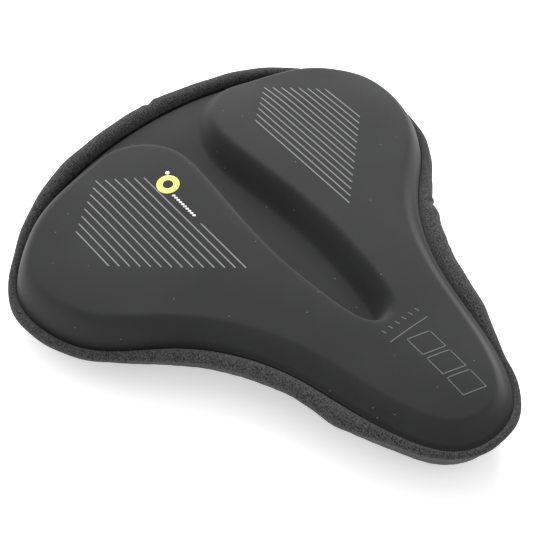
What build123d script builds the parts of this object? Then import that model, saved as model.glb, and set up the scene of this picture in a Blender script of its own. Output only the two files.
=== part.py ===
from build123d import *
import os
import numpy as np

os.makedirs("parts", exist_ok=True)

# Padded slip-on cover for a bicycle saddle.
# +X points to the nose, +Y to the rider's left, +Z up. The origin is at the middle of the
# footprint, with z = 0 on the surface that the cover's hem lies on. All sizes are in mm.

# Seam line between the top and the skirt, seen from above
seam_length = 265.0
wing_half_width = 127.0
flare_half_width = 76.6
waist_half_width = 51.8
nose_half_width = 39.2

# Height of the seam line: level at the centre, fall to the nose, sag at both ends, wing droop
seam_height = 36.0
nose_fall = 5.2
end_sag = 1.4
wing_droop = 20.3

# Skirt: a knit band that rolls outward at the seam and curls under to the hem. Each roll is
# held from one share of the seam's length to another, and eases into the next between them.
# Below a roll the knit leaves at the angle "turn" and is drawn in by the share "pull".
skirt_thickness = 1.5
seam_allowance = 5.8
seam_clearance = 0.15
glue_line = 0.15
rear_roll = dict(
    start=0.0, end=0.05, radius=4.8, lift=0.9, inset=13.0, height=12.0, turn=-40.0, pull=0.45
)
wing_roll = dict(
    start=0.16, end=0.30, radius=2.0, lift=-0.2, inset=15.0, height=1.6, turn=8.0, pull=0.45
)
waist_roll = dict(
    start=0.595, end=0.77, radius=5.0, lift=-4.2, inset=16.0, height=1.6, turn=-40.0, pull=0.45
)
nose_roll = dict(
    start=0.89, end=1.0, radius=2.0, lift=-2.6, inset=18.0, height=1.6, turn=-10.0, pull=0.25
)
rolls = [rear_roll, wing_roll, waist_roll, nose_roll]
skirt_stations = 44
thread_size = 0.6
stitch_length = 3.0
back_seam_gap = 0.2

# Middle of the seam line, which puts the origin at the middle of the whole footprint
middle_x = rear_roll["radius"] - nose_roll["radius"]
rear_x = middle_x - seam_length / 2
nose_x = middle_x + seam_length / 2

# The slabs end in a short flat at the rear centre and at the nose tip
end_flat = 0.5

# Padding
pad_rise = 11.3
shoulder_width = 18.0
shoulder_roundness = 2.2
rim_depth = 4.2
pad_depth = 9.8
skin_thickness = 0.9
split_depth = 2.6
lining_thickness = 0.8

# Relief channel, which opens into a valley between the two rear lobes
channel_end = middle_x + 54.0
channel_half_width = 14.0
channel_neck_half_width = 9.3
channel_floor = 5.0
channel_wall = 11.0
valley_half_width = 60.0
floor_fade_start = 14.0
floor_fade_length = 48.0

# Hem tape folded round the skirt's edge, with a flat elastic inside
tape_thickness = 0.65
tape_clearance = 0.2
tape_overlap = 3.0
elastic_width = 5.2
elastic_thickness = 1.4
hem_gap = 0.3

# Grip dots and label on the lining
dot_diameter = 4.0
dot_height = 0.5
dot_pitch = 21.0
dot_margin = 24.0
label_length = 34.0
label_width = 22.0
label_thickness = 0.3
label_x = middle_x + 5.0
label_gap = 0.35

# Transfer prints: a fan of stripes on each lobe, a mark behind the right one, a print on the nose
film_thickness = 0.12
print_gap = 0.2
stripe_count = 14
stripe_pitch = 3.93
stripe_width = 0.7
stripe_outer_y = 86.0
stripe_gap = 0.1
stripe_rear_x = middle_x - 86.0
stripe_rear_lean = 3.14
stripe_rear_return = 3.5
stripe_corner = 7
stripe_past_mark_x = middle_x - 46.0
stripes_cut_by_mark = 1
stripe_front_x = middle_x - 56.0
stripe_front_lean = 3.65
line_steps = 8
emblem_x = middle_x - 78.0
emblem_y = 32.0
emblem_radius = 6.2
emblem_hole_radius = 2.8
emblem_bar = dict(x=middle_x - 61.0, y=34.3, length=19.0, width=1.6)
nose_print_x = middle_x + 70.0
nose_bar_y = 3.0
nose_bar_length = 25.0
tick_count = 6
tick_pitch = 4.4
tick_length = 2.6
tick_width = 0.7
tick_behind = 6.3
frame_count = 3
frame_pitch = 13.6
frame_x = nose_print_x + 10.9
frame_y = 4.0
frame_length = 11.0
frame_width = 12.5
frame_lean = 3.0
frame_line = 0.7
nose_print_gap = 0.4

# Under-saddle straps
webbing_width = 20.0
webbing_thickness = 1.2
tab_thickness = 1.0
strap_seat_gap = 0.2
patch_thickness = 0.7
patch_margin = 1.0
ring_bar = 2.6
ring_thickness = 1.3
ring_slot = 5.0
ring_side_clearance = 0.6
ring_corner = 2.0
ring_to_hem = 8.0
bend_gap = 0.175
bend_overlap = 0.3
tab_end_past_ring = 2.2
hinge_behind_bar = 1.5
peel_gap = 0.3
sewn_length = 6.0
tail_corner = 5.0
hook_end_margin = 4.0
loop_end_margin = 1.0
tack_width = 16.0
tack_length = 1.6
tack_height = 0.5
tack_gap = 0.25
rear_strap = dict(x=middle_x - 71.0, tail=60.0, hook=44.0, reach=30.0)
front_strap = dict(x=middle_x + 52.0, tail=27.0, hook=20.0, reach=0.0)


def smooth_step(t):
    t = np.clip(t, 0.0, 1.0)
    return t * t * (3.0 - 2.0 * t)


def seam_half_points():
    """The half outline as points from the rear centre to the nose tip."""
    along = [0.0, 0.03, 0.10, 0.18, 0.293, 0.403, 0.512, 0.669, 0.841, 0.965, 1.0]
    wing = [wing_half_width * share for share in (0.0, 0.555, 0.86, 0.99, 0.981, 0.85)]
    front = [flare_half_width, waist_half_width, nose_half_width, 0.59 * nose_half_width, 0.0]
    return [(rear_x + seam_length * a, y) for a, y in zip(along, wing + front)]


def closed_spline(half):
    """A closed curve through the half points and their mirror images, in even parameters."""
    points = half + [(x, -y) for x, y in half[-2:0:-1]]
    steps = [i / len(points) for i in range(len(points) + 1)]
    return Edge.make_spline([(x, y, 0) for x, y in points], periodic=True, parameters=steps)


def sample(curve, count, end=1.0):
    spots = [curve.position_at(end * i / count, PositionMode.PARAMETER) for i in range(count + 1)]
    return np.array([(p.X, p.Y) for p in spots])


seam_curve = closed_spline(seam_half_points())
seam_samples = sample(seam_curve, 600)


def valley_samples():
    """The foot of the channel and valley walls at mid height, as a closed polyline."""
    half = [
        (channel_end, 0.0),
        (channel_end - 8.0, 0.55 * channel_half_width),
        (channel_end - 37.0, 0.88 * channel_half_width),
        (channel_end - 64.0, channel_half_width),
        (rear_x + 86.0, 0.88 * channel_half_width),
        (rear_x + 47.0, channel_neck_half_width),
        (rear_x + 26.0, channel_neck_half_width + 6.0),
        (rear_x + 11.0, 0.54 * valley_half_width),
        (rear_x - 5.0, valley_half_width),
        (rear_x - 40.0, valley_half_width),
    ]
    curve = Edge.make_spline([(x, y, 0) for x, y in half])
    upper = sample(curve, 300)
    lower = upper[:0:-1] * np.array([1.0, -1.0])
    return np.vstack([upper, lower, upper[:1]])


def signed_distance(loop, x, y):
    """Distance to a closed polyline, positive inside it."""
    start = loop[:-1]
    run = loop[1:] - start
    length2 = np.maximum((run**2).sum(1), 1e-12)
    result = np.empty(x.size)
    for i, (px, py) in enumerate(zip(x.ravel(), y.ravel())):
        to_x = px - start[:, 0]
        to_y = py - start[:, 1]
        share = np.clip((to_x * run[:, 0] + to_y * run[:, 1]) / length2, 0.0, 1.0)
        near = np.hypot(to_x - share * run[:, 0], to_y - share * run[:, 1]).min()
        above = (start[:, 1] > py) != (loop[1:, 1] > py)
        cross = start[:, 0] + (py - start[:, 1]) / np.where(above, run[:, 1], 1.0) * run[:, 0]
        inside = np.count_nonzero(above & (px < cross)) % 2 == 1
        result[i] = near if inside else -near
    return result.reshape(x.shape)


def seam_level(x, y):
    t = (x - middle_x) / (seam_length / 2)
    w = y / wing_half_width
    return seam_height - nose_fall * t - end_sag * t**2 - wing_droop * w**2


rows_along = 72
half_points_across = 24
end_crowding = 0.72
rim_crowding = 0.62


def half_width_at(x):
    half = seam_samples[: len(seam_samples) // 2 + 1]
    return np.interp(x, half[:, 0], half[:, 1])


def section_grid():
    """Rows of points across the cover, crowded towards the ends, the channel and the rim."""
    t = np.linspace(-1.0, 1.0, rows_along + 1)
    xs = middle_x + (seam_length / 2 - end_flat) * (t + end_crowding * np.sin(np.pi * t) / np.pi)
    t = np.linspace(-1.0, 1.0, 2 * half_points_across + 1)
    across = t - rim_crowding * np.sin(2 * np.pi * t) / (2 * np.pi)
    x = np.repeat(xs[:, None], across.size, axis=1)
    return x, half_width_at(xs)[:, None] * across[None, :]


valley_loop = valley_samples()


def pad_heights(x, y):
    """Heights of the skin's top, the split between the two foams and the foams' base."""
    inward = np.clip(signed_distance(seam_samples, x, y) / shoulder_width, 0.0, 1.0)
    bulge = 1.0 - (1.0 - inward) ** shoulder_roundness
    valley = smooth_step(0.5 + signed_distance(valley_loop, x, y) / channel_wall)
    floor_fade = smooth_step((x - rear_x - floor_fade_start) / floor_fade_length)
    floor_drop = -channel_floor * floor_fade * valley
    level = seam_level(x, y)
    top = level + pad_rise * bulge * (1.0 - valley) + floor_drop
    split = level + floor_drop - split_depth
    base = level - rim_depth - (pad_depth - rim_depth) * smooth_step(inward)
    return top, split, base


grid_x, grid_y = section_grid()
skin_top, foam_split, foam_base = pad_heights(grid_x, grid_y)


def even_spline(points):
    steps = [i / (len(points) - 1) for i in range(len(points))]
    return Edge.make_spline([Vector(*p) for p in points], parameters=steps)


def closed_section(upper, lower):
    """A closed wire from two open point rows that run the same way."""
    return Wire(
        [
            even_spline(upper),
            Edge.make_line(Vector(*upper[-1]), Vector(*lower[-1])),
            even_spline(lower[::-1]),
            Edge.make_line(Vector(*lower[0]), Vector(*upper[0])),
        ]
    )


def layer(top, base):
    """A closed slab between two height fields over the seam outline."""
    wires = []
    for xs, ys, tops, bases in zip(grid_x, grid_y, top, base):
        wires.append(closed_section(list(zip(xs, ys, tops)), list(zip(xs, ys, bases))))
    return Solid.make_loft(wires)


def make_pad_layers():
    skin_base = skin_top - skin_thickness
    export_step(layer(skin_top, skin_base), "parts/top_panel.step")
    export_step(layer(skin_base - glue_line, foam_split), "parts/memory_foam_pad.step")
    export_step(layer(foam_split - glue_line, foam_base), "parts/support_foam_pad.step")
    lining_top = foam_base - glue_line
    export_step(layer(lining_top, lining_top - lining_thickness), "parts/base_lining.step")


class Station:
    """One place along the outline, with the skirt's own sizes there. Side is 1 left, -1 right."""

    def __init__(self, share, side):
        half = seam_samples[: len(seam_samples) // 2 + 1]
        runs = np.hypot(*np.diff(half, axis=0).T)
        length = np.concatenate([[0.0], np.cumsum(runs)])
        self.share = share
        self.x, self.y = (np.interp(share * length[-1], length, half[:, i]) for i in (0, 1))
        ahead = min(share * length[-1] + 1.0, length[-1])
        behind = max(share * length[-1] - 1.0, 0.0)
        step = [np.diff(np.interp([behind, ahead], length, half[:, i]))[0] for i in (0, 1)]
        size = np.hypot(*step)
        self.out_x, self.out_y = -step[1] / size, step[0] / size
        if share in (0.0, 1.0):
            self.y, self.out_x, self.out_y = (1.0 - share) * back_seam_gap / 2, 2.0 * share - 1.0, 0.0
        self.y *= side
        self.out_y *= side
        self.seam_z = float(seam_level(self.x, self.y))
        ends = [rear_x + seam_length * roll[end] for roll in rolls for end in ("start", "end")]
        places = np.interp(ends, half[:, 0], length) / length[-1]
        for name in ("radius", "lift", "inset", "height", "turn", "pull"):
            values = [roll[name] for roll in rolls for _ in ("start", "end")]
            setattr(self, name, eased(share, places, values))

    def point(self, out, z):
        return (self.x + self.out_x * out, self.y + self.out_y * out, z)


def eased(at, places, values):
    """Interpolation that levels off at each named place."""
    i = min(int(np.searchsorted(places, at, side="right")) - 1, len(places) - 2)
    t = (at - places[i]) / (places[i + 1] - places[i])
    return values[i] + (values[i + 1] - values[i]) * float(smooth_step(t))


def skirt_line(station):
    """Middle line of the skirt's section: out from the seam, as (outward, height) pairs."""
    start = seam_clearance + skirt_thickness / 2
    roll = station.radius - skirt_thickness / 2
    centre = (start + roll, station.seam_z + station.lift)
    line = [(start, station.seam_z - seam_allowance)]
    for angle in np.radians(np.linspace(180.0, station.turn, 9)):
        line.append((centre[0] + roll * np.cos(angle), centre[1] + roll * np.sin(angle)))
    leave = np.array(line[-1])
    reach = np.array([-station.inset + tape_overlap + 0.4, station.height])
    pull = station.pull * np.hypot(*(reach - leave))
    turn = np.radians(station.turn)
    first = leave + pull * np.array([np.sin(turn), -np.cos(turn)])
    second = reach + pull * np.array([1.0, 0.12])
    for t in np.linspace(0.0, 1.0, 8)[1:]:
        weights = ((1 - t) ** 3, 3 * t * (1 - t) ** 2, 3 * t * t * (1 - t), t**3)
        line.append(tuple(sum(w * p for w, p in zip(weights, (leave, first, second, reach)))))
    line.append((-station.inset, station.height))
    return np.array(line)


def offset_line(line, distance):
    along = np.gradient(line, axis=0)
    along /= np.hypot(along[:, 0], along[:, 1])[:, None]
    return line + distance * np.column_stack([-along[:, 1], along[:, 0]])


stations = [Station(i / skirt_stations, 1) for i in range(skirt_stations + 1)]
loop_stations = stations + [Station(i / skirt_stations, -1) for i in range(skirt_stations - 1, -1, -1)]


def whole_band(shape):
    """A band from the centre-back seam round the nose to the seam again."""
    return Solid.make_loft([shape(station) for station in loop_stations])


def skirt_section(station):
    line = skirt_line(station)
    outer = [station.point(*p) for p in offset_line(line, skirt_thickness / 2)]
    inner = [station.point(*p) for p in offset_line(line, -skirt_thickness / 2)]
    return closed_section(outer, inner)


def polygon_section(station, corners):
    return Wire.make_polygon([Vector(*station.point(*p)) for p in corners], close=True)


def hem_corners(station, corners):
    """Corners given from the skirt's cut edge: inward distance, then height."""
    return [(-station.inset - inward, station.height + up) for inward, up in corners]


cavity = skirt_thickness / 2 + tape_clearance
tape_half_height = cavity + tape_thickness
elastic_start = hem_gap
elastic_end = elastic_start + elastic_width
tape_inner = elastic_end + hem_gap
tape_end = tape_inner + tape_thickness


def tape_section(station):
    corners = [
        (-tape_overlap, tape_half_height),
        (tape_end - 0.5, tape_half_height),
        (tape_end, tape_half_height - 0.5),
        (tape_end, 0.5 - tape_half_height),
        (tape_end - 0.5, -tape_half_height),
        (-tape_overlap, -tape_half_height),
        (-tape_overlap, -cavity),
        (tape_inner, -cavity),
        (tape_inner, cavity),
        (-tape_overlap, cavity),
    ]
    return polygon_section(station, hem_corners(station, corners))


def elastic_section(station):
    half = elastic_thickness / 2
    corners = [(elastic_start, half), (elastic_end, half), (elastic_end, -half), (elastic_start, -half)]
    return polygon_section(station, hem_corners(station, corners))


def thread_section(station):
    near = seam_clearance + skirt_thickness + glue_line
    z = station.seam_z + station.lift - thread_size / 2
    far, above = near + thread_size, z + thread_size
    return polygon_section(station, [(near, z), (far, z), (far, above), (near, above)])


def make_skirt():
    export_step(whole_band(skirt_section), "parts/skirt.step")
    export_step(whole_band(tape_section), "parts/hem_binding.step")
    export_step(whole_band(elastic_section), "parts/hem_elastic.step")
    export_step(whole_band(thread_section), "parts/top_seam_thread.step")


def make_back_seam():
    """Short stitches across the skirt's one seam, on its inner face at the rear centre."""
    line = skirt_line(stations[0])
    inside = offset_line(line, -skirt_thickness / 2 - thread_size / 2 - glue_line)
    stitches = []
    for before, at, after in zip(inside[10:-3], inside[11:-2], inside[12:-1]):
        run = after - before
        tilt = np.degrees(np.arctan2(run[1], run[0]))
        stitch = Box(thread_size, stitch_length, thread_size)
        place = Location((rear_x - at[0], 0, at[1]), (0, tilt, 0))
        stitches.append(place * stitch)
    export_step(Compound(stitches), "parts/back_seam_stitches.step")


def height_at(x, y, field_name):
    """The skin's or the lining's height at one place."""
    top, _, base = pad_heights(np.array([x]), np.array([y]))
    if field_name == "lining":
        return float(base[0] - glue_line - lining_thickness)
    return float(top[0])


def lying_plane(x, y, field_name, gap):
    """A plane that lies on the skin, or under the lining, square to the surface there."""
    step = 2.0
    z = height_at(x, y, field_name)
    slope_x = (height_at(x + step, y, field_name) - height_at(x - step, y, field_name)) / (2 * step)
    slope_y = (height_at(x, y + step, field_name) - height_at(x, y - step, field_name)) / (2 * step)
    up = Vector(-slope_x, -slope_y, 1).normalized()
    if field_name == "lining":
        up = up * -1
    origin = Vector(x, y, z) + up * gap
    return Plane(origin=origin, x_dir=Vector(1, 0, slope_x), z_dir=up)


def dot_places():
    places = []
    rows = int(2 * wing_half_width / dot_pitch) + 1
    for row in range(-rows, rows + 1):
        y = row * dot_pitch * 0.866
        shift = dot_pitch / 2 if row % 2 else 0.0
        for column in range(-rows, rows + 1):
            places.append((column * dot_pitch + shift, y))
    x, y = (np.array(values) for values in zip(*places))
    inside = signed_distance(seam_samples, x, y) > dot_margin
    clear = np.maximum(abs(x - label_x) - label_length / 2, abs(y) - label_width / 2) > dot_diameter
    return [place for place, keep in zip(places, inside & clear) if keep]


def make_grip_dots():
    dots = []
    for x, y in dot_places():
        plane = lying_plane(x, y, "lining", 0.05)
        dots.append(Solid.make_cylinder(dot_diameter / 2, dot_height, plane))
    export_step(Compound(dots), "parts/grip_dots.step")


def flat_piece(plane, face, thickness):
    return Solid.extrude(plane.location * face, plane.z_dir * thickness)


def make_label():
    plane = lying_plane(label_x, 0, "lining", label_gap)
    face = Face.make_rect(label_length, label_width)
    export_step(flat_piece(plane, face, label_thickness), "parts/care_label.step")


def stripe_ends(number):
    """Rear end, front end and side distance of one stripe, counted from the outer one."""
    y = stripe_outer_y - number * stripe_pitch
    front = stripe_front_x + number * stripe_front_lean
    past_corner = max(number - stripe_corner, 0)
    rear = stripe_rear_x - min(number, stripe_corner) * stripe_rear_lean + past_corner * stripe_rear_return
    return rear, front, y


def follow_skin(start, end, width, thickness):
    """A thin raised line of even width between two places, along X or along Y."""
    steps = list(zip(*(np.linspace(a, b, line_steps + 1) for a, b in zip(start, end))))
    side = Vector(0, width, 0) if start[1] == end[1] else Vector(width, 0, 0)
    low = [(x, y, height_at(x, y, "skin") + stripe_gap) for x, y in steps]
    high = [(x, y, z + thickness) for x, y, z in low]
    solid = Solid.extrude(Face(closed_section(high, low)), side)
    return solid.moved(Location(side * -0.5))


def make_stripes():
    left = []
    right = []
    for number in range(stripe_count):
        x_from, x_to, y = stripe_ends(number)
        left.append(follow_skin((x_from, y), (x_to, y), stripe_width, film_thickness))
        beside_mark = number >= stripe_count - stripes_cut_by_mark
        x_from = max(x_from, stripe_past_mark_x) if beside_mark else x_from
        right.append(follow_skin((x_from, -y), (x_to, -y), stripe_width, film_thickness))
    export_step(Compound(left), "parts/left_stripe_print.step")
    export_step(Compound(right), "parts/right_stripe_print.step")


def make_emblem():
    """A plain ring and a short bar beside it, as a generic mark."""
    plane = lying_plane(emblem_x, -emblem_y, "skin", print_gap)
    ring = Face(Wire.make_circle(emblem_radius), [Wire.make_circle(emblem_hole_radius)])
    export_step(flat_piece(plane, ring, film_thickness), "parts/rear_emblem_print.step")
    bar_plane = lying_plane(emblem_bar["x"], -emblem_bar["y"], "skin", print_gap)
    bar = Face.make_rect(emblem_bar["length"], emblem_bar["width"])
    export_step(flat_piece(bar_plane, bar, film_thickness), "parts/rear_bar_print.step")


def frame_wire(margin):
    """A leaning four-sided outline, drawn in from the largest one by a margin."""
    half_length = frame_length / 2 - margin
    half_width = frame_width / 2 - margin
    lean = frame_lean * half_width / frame_width
    corners = [(-half_length - lean, -half_width), (half_length - lean, -half_width)]
    corners += [(-x, -y) for x, y in corners]
    return Wire.make_polygon([Vector(x, y, 0) for x, y in corners], close=True)


def make_nose_print():
    """A bar across the nose, a row of ticks behind it and leaning frames in front of it."""
    bar_start = (nose_print_x, nose_bar_y - nose_bar_length / 2)
    bar_end = (nose_print_x, nose_bar_y + nose_bar_length / 2)
    pieces = [follow_skin(bar_start, bar_end, stripe_width, film_thickness)]
    tick = Face.make_rect(tick_length, tick_width)
    for number in range(tick_count):
        y = nose_bar_y + (number - (tick_count - 1) / 2) * tick_pitch
        plane = lying_plane(nose_print_x - tick_behind, y, "skin", nose_print_gap)
        pieces.append(flat_piece(plane, tick, film_thickness))
    frame = Face(frame_wire(0.0), [frame_wire(frame_line)])
    for number in range(frame_count):
        plane = lying_plane(frame_x + frame_pitch * number, frame_y, "skin", nose_print_gap)
        pieces.append(flat_piece(plane, frame, film_thickness))
    export_step(Compound(pieces), "parts/nose_print.step")


def hem_edge_y(x, width):
    """How far from the centre plane the hem's inner edge stands, at the least, over a width."""
    edges = [station.point(-station.inset - tape_end, 0) for station in stations]
    return min(y for edge_x, y, _ in edges if abs(edge_x - x) < width / 2)


def profile_solid(corners, x, width):
    """A strip of even width along X, from the corners of its side view in Y and Z."""
    wire = Wire.make_polygon([Vector(x - width / 2, y, z) for y, z in corners], close=True)
    return Solid.extrude(Face(wire), Vector(width, 0, 0))


def bend_corners(y, z, radius, side, count=9):
    """Points of a half turn about (y, z), from its top round to its bottom, on one side."""
    angles = np.linspace(90.0, -90.0, count)
    return [(y + side * radius * np.cos(np.radians(a)), z + radius * np.sin(np.radians(a))) for a in angles]


def folded_strip(x, width, thickness, upper_end, lower_end, bend_y, bend_z, inner_radius, side):
    """A strip that runs in at the top, turns round a bar and comes back below it."""
    outer = bend_corners(bend_y, bend_z, inner_radius + thickness, side)
    inner = bend_corners(bend_y, bend_z, inner_radius, side)
    corners = [(upper_end, outer[0][1])] + outer + [(lower_end, outer[-1][1])]
    corners += [(lower_end, inner[-1][1])] + inner[::-1] + [(upper_end, inner[0][1])]
    return profile_solid(corners, x, width)


def make_strap_set(name, strap):
    """One strap, sewn to the right hem, that passes round a ring held by a tab on the left hem."""
    x = strap["x"]
    ring_length = webbing_width + 2 * ring_side_clearance + 2 * ring_bar
    hem_y = hem_edge_y(x, ring_length)
    seat_z = wing_roll["height"] + tape_half_height + strap_seat_gap
    inner_radius = ring_thickness / 2 + bend_gap
    ring_z = seat_z - inner_radius
    far_bar = hem_y - ring_to_hem
    near_bar = far_bar - ring_slot - ring_bar

    bend_y = near_bar + ring_bar - bend_overlap
    hinge_y = near_bar - hinge_behind_bar
    strap_solid = folded_strip(
        x, webbing_width, webbing_thickness, -hem_y - sewn_length, hinge_y + peel_gap,
        bend_y, ring_z, inner_radius, 1,
    )
    export_step(strap_solid, f"parts/{name}_strap.step")

    tab_solid = folded_strip(
        x, webbing_width, tab_thickness, hem_y + sewn_length, far_bar + ring_bar + tab_end_past_ring,
        far_bar + bend_overlap, ring_z, inner_radius, -1,
    )
    export_step(tab_solid, f"parts/{name}_ring_tab.step")

    ring_depth = ring_slot + 2 * ring_bar
    ring = Box(ring_length, ring_depth, ring_thickness)
    ring = fillet(ring.edges().filter_by(Axis.Z), ring_corner)
    ring -= Box(ring_length - 2 * ring_bar, ring_slot, 2 * ring_thickness)
    ring = Location((x, near_bar + ring_depth / 2, ring_z)) * ring
    export_step(ring, f"parts/{name}_ring.step")

    tail_top = ring_z - inner_radius
    tail_low = tail_top - webbing_thickness
    tail_far = hinge_y - peel_gap - strap["tail"]
    tail = Box(webbing_width, strap["tail"], webbing_thickness, align=(Align.CENTER, Align.MIN, Align.MIN))
    tail = fillet(tail.edges().filter_by(Axis.Z).group_by(Axis.Y)[0], tail_corner)
    tail = Location((x, tail_far, tail_low)) * tail
    export_step(tail, f"parts/{name}_strap_tail.step")

    patch_width = webbing_width - 2 * patch_margin
    low_corner = (Align.CENTER, Align.MIN, Align.MIN)
    hook = Box(patch_width, strap["hook"], patch_thickness, align=low_corner)
    hook = Location((x, tail_far + hook_end_margin, tail_top)) * hook
    export_step(hook, f"parts/{name}_hook_patch.step")

    loop_far = tail_far - strap["reach"]
    loop = Box(patch_width, hinge_y - loop_end_margin - loop_far, patch_thickness, align=low_corner)
    loop = Location((x, loop_far, seat_z - patch_thickness)) * loop
    export_step(loop, f"parts/{name}_loop_patch.step")

    print(name, "hinge axis at y", round(hinge_y, 2), "z", round(tail_low, 2))
    tack = Box(tack_width, tack_length, tack_height)
    strap_tack_z = seat_z + webbing_thickness + tack_gap
    tab_tack_z = seat_z + tab_thickness + tack_gap
    return [
        Location((x, -hem_y - sewn_length / 2, strap_tack_z)) * tack,
        Location((x, hem_y + sewn_length / 2, tab_tack_z)) * tack,
    ]


def make_straps():
    tacks = make_strap_set("rear", rear_strap) + make_strap_set("front", front_strap)
    export_step(Compound(tacks), "parts/strap_bar_tacks.step")


make_pad_layers()
make_skirt()
make_back_seam()
make_grip_dots()
make_label()
make_stripes()
make_emblem()
make_nose_print()
make_straps()
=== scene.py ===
import math

import bmesh
import bpy
import numpy as np
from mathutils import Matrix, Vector
from mathutils.kdtree import KDTree


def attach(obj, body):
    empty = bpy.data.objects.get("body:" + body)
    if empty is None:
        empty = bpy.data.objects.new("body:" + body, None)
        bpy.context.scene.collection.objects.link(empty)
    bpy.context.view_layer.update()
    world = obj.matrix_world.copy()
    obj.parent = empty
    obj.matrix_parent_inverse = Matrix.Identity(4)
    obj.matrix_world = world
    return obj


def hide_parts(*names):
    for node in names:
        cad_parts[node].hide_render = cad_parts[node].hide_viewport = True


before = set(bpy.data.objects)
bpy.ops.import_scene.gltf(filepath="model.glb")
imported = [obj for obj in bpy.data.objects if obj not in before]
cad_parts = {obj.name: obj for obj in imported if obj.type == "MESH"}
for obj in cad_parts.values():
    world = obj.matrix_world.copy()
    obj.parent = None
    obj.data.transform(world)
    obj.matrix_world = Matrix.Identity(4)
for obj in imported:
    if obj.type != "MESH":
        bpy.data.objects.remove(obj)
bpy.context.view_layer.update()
print("frame loaded")

# skirt: each roll is held from one share of the seam's length to another and eases between them
# roll: start, end, radius, lift, inset of the hem, height of the hem, leaving angle, pull
skirt = {
    "thick": 0.0015, "allowance": 0.0016, "clear": 0.00015, "turns": 720,
    "rolls": [
        (0.0, 0.018, 0.0048, 0.0009, 0.013, 0.012, -40.0, 0.45),
        (0.15, 0.22, 0.0016, -0.0008, 0.015, 0.0016, -42.0, 0.28),
        (0.62, 0.77, 0.0049, -0.0042, 0.016, 0.0016, -40.0, 0.45),
        (0.90, 1.0, 0.0020, -0.0026, 0.018, 0.0016, -30.0, 0.40),
    ],
    "leftWaistSwell": 0.0007,
    "back": {"y": 0.056, "width": 0.034, "thin": 0.0009},
    "rightWing": {"x": -0.066, "width": 0.030, "fuller": 0.0013},
    "noseLean": {"x": 0.092, "width": 0.024, "shift": 0.0008},
    "pucker": {"deep": 0.0005, "beside": 0.00025, "width": 0.0016, "away": 0.0042},
    "kinks": [(0.003, 0.0019, 0.0007), (0.010, 0.003, -0.0003), (0.030, 0.0025, 0.0002)],  # x, width, depth
    "ripple": 0.00014, "waver": 0.00016,  # small unevenness of the roll's radius and of its height
    "gather": 0.0003, "gatherPitch": 0.0075, "hemReach": 0.0034, "hemSlope": 0.12,
}

# seam line between the top and the skirt, from above, with the height it runs at
seam = {
    "length": 0.265, "wing": 0.127, "flare": 0.0766, "waist": 0.0518, "nose": 0.0392,
    "height": 0.036, "noseFall": 0.0052, "endSag": 0.0014, "wingDroop": 0.0203,
}
seam["middle"] = skirt["rolls"][0][2] - skirt["rolls"][-1][2]
seam["rearX"] = seam["middle"] - seam["length"] / 2
seam["noseX"] = seam["middle"] + seam["length"] / 2

pad = {
    "rise": 0.0113, "shoulder": 0.018, "round": 2.2, "rimDepth": 0.0042, "depth": 0.0098, "skin": 0.0009,
    "split": 0.0026, "lining": 0.0008, "glue": 0.00015, "turns": 360, "steps": 64,
    "pinch": 0.0020, "pinchReach": 0.0017, "lip": 0.0030, "foamInset": 0.0027,
    "flange": 0.0022, "side": 0.0085, "crown": 0.040, "sideShare": 0.56, "wingFrom": 0.050, "wingTo": 0.105,
    "wingShoulder": 0.0105, "wingRise": 0.0030,
    "tipX": -0.058, "tipY": 0.112, "tipReach": 0.026, "tipFill": 0.0018,
}

channel = {
    "end": seam["middle"] + 0.054, "half": 0.014, "neck": 0.0093, "floor": 0.005, "wall": 0.011,
    "valley": 0.060, "fadeStart": 0.014, "fade": 0.048,
}


def smoothStep(t):
    t = np.clip(t, 0.0, 1.0)
    return t * t * (3.0 - 2.0 * t)


def closedCurve(points, count):
    # periodic cubic through the points in even steps, solved as one small linear system
    p = np.array(points, float)
    n = len(p)
    system = np.zeros((n, n))
    for i in range(n):
        system[i, i] = 4.0
        system[i, (i + 1) % n] += 1.0
        system[i, (i - 1) % n] += 1.0
    slopes = np.linalg.solve(system, 3.0 * (np.roll(p, -1, 0) - np.roll(p, 1, 0)))
    u = np.arange(count) * n / count
    i = u.astype(int)
    t = (u - i)[:, None]
    a, b = p[i], p[(i + 1) % n]
    da, db = slopes[i], slopes[(i + 1) % n]
    return (
        a * (2 * t**3 - 3 * t**2 + 1) + da * (t**3 - 2 * t**2 + t)
        + b * (3 * t**2 - 2 * t**3) + db * (t**3 - t**2)
    )


def openCurve(points, count):
    # cubic through the points in even steps, straight at its two ends
    p = np.array(points, float)
    n = len(p)
    system = np.diag(np.full(n, 4.0)) + np.diag(np.ones(n - 1), 1) + np.diag(np.ones(n - 1), -1)
    system[0, 0] = system[-1, -1] = 2.0
    pull = np.zeros_like(p)
    pull[1:-1] = 3.0 * (p[2:] - p[:-2])
    pull[0], pull[-1] = 3.0 * (p[1] - p[0]), 3.0 * (p[-1] - p[-2])
    slopes = np.linalg.solve(system, pull)
    u = np.linspace(0, n - 1, count)
    i = np.minimum(u.astype(int), n - 2)
    t = (u - i)[:, None]
    a, b, da, db = p[i], p[i + 1], slopes[i], slopes[i + 1]
    return (
        a * (2 * t**3 - 3 * t**2 + 1) + da * (t**3 - 2 * t**2 + t)
        + b * (3 * t**2 - 2 * t**3) + db * (t**3 - t**2)
    )


def seamHalfPoints():
    along = [0.0, 0.03, 0.10, 0.18, 0.293, 0.403, 0.512, 0.669, 0.841, 0.965, 1.0]
    ys = [seam["wing"] * s for s in (0.0, 0.555, 0.86, 0.99, 0.981, 0.85)]
    ys += [seam["flare"], seam["waist"], seam["nose"], 0.59 * seam["nose"], 0.0]
    return [(seam["rearX"] + seam["length"] * a, y) for a, y in zip(along, ys)]


def seamLoop():
    half = seamHalfPoints()
    return closedCurve(half + [(x, -y) for x, y in half[-2:0:-1]], 2400)


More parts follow.
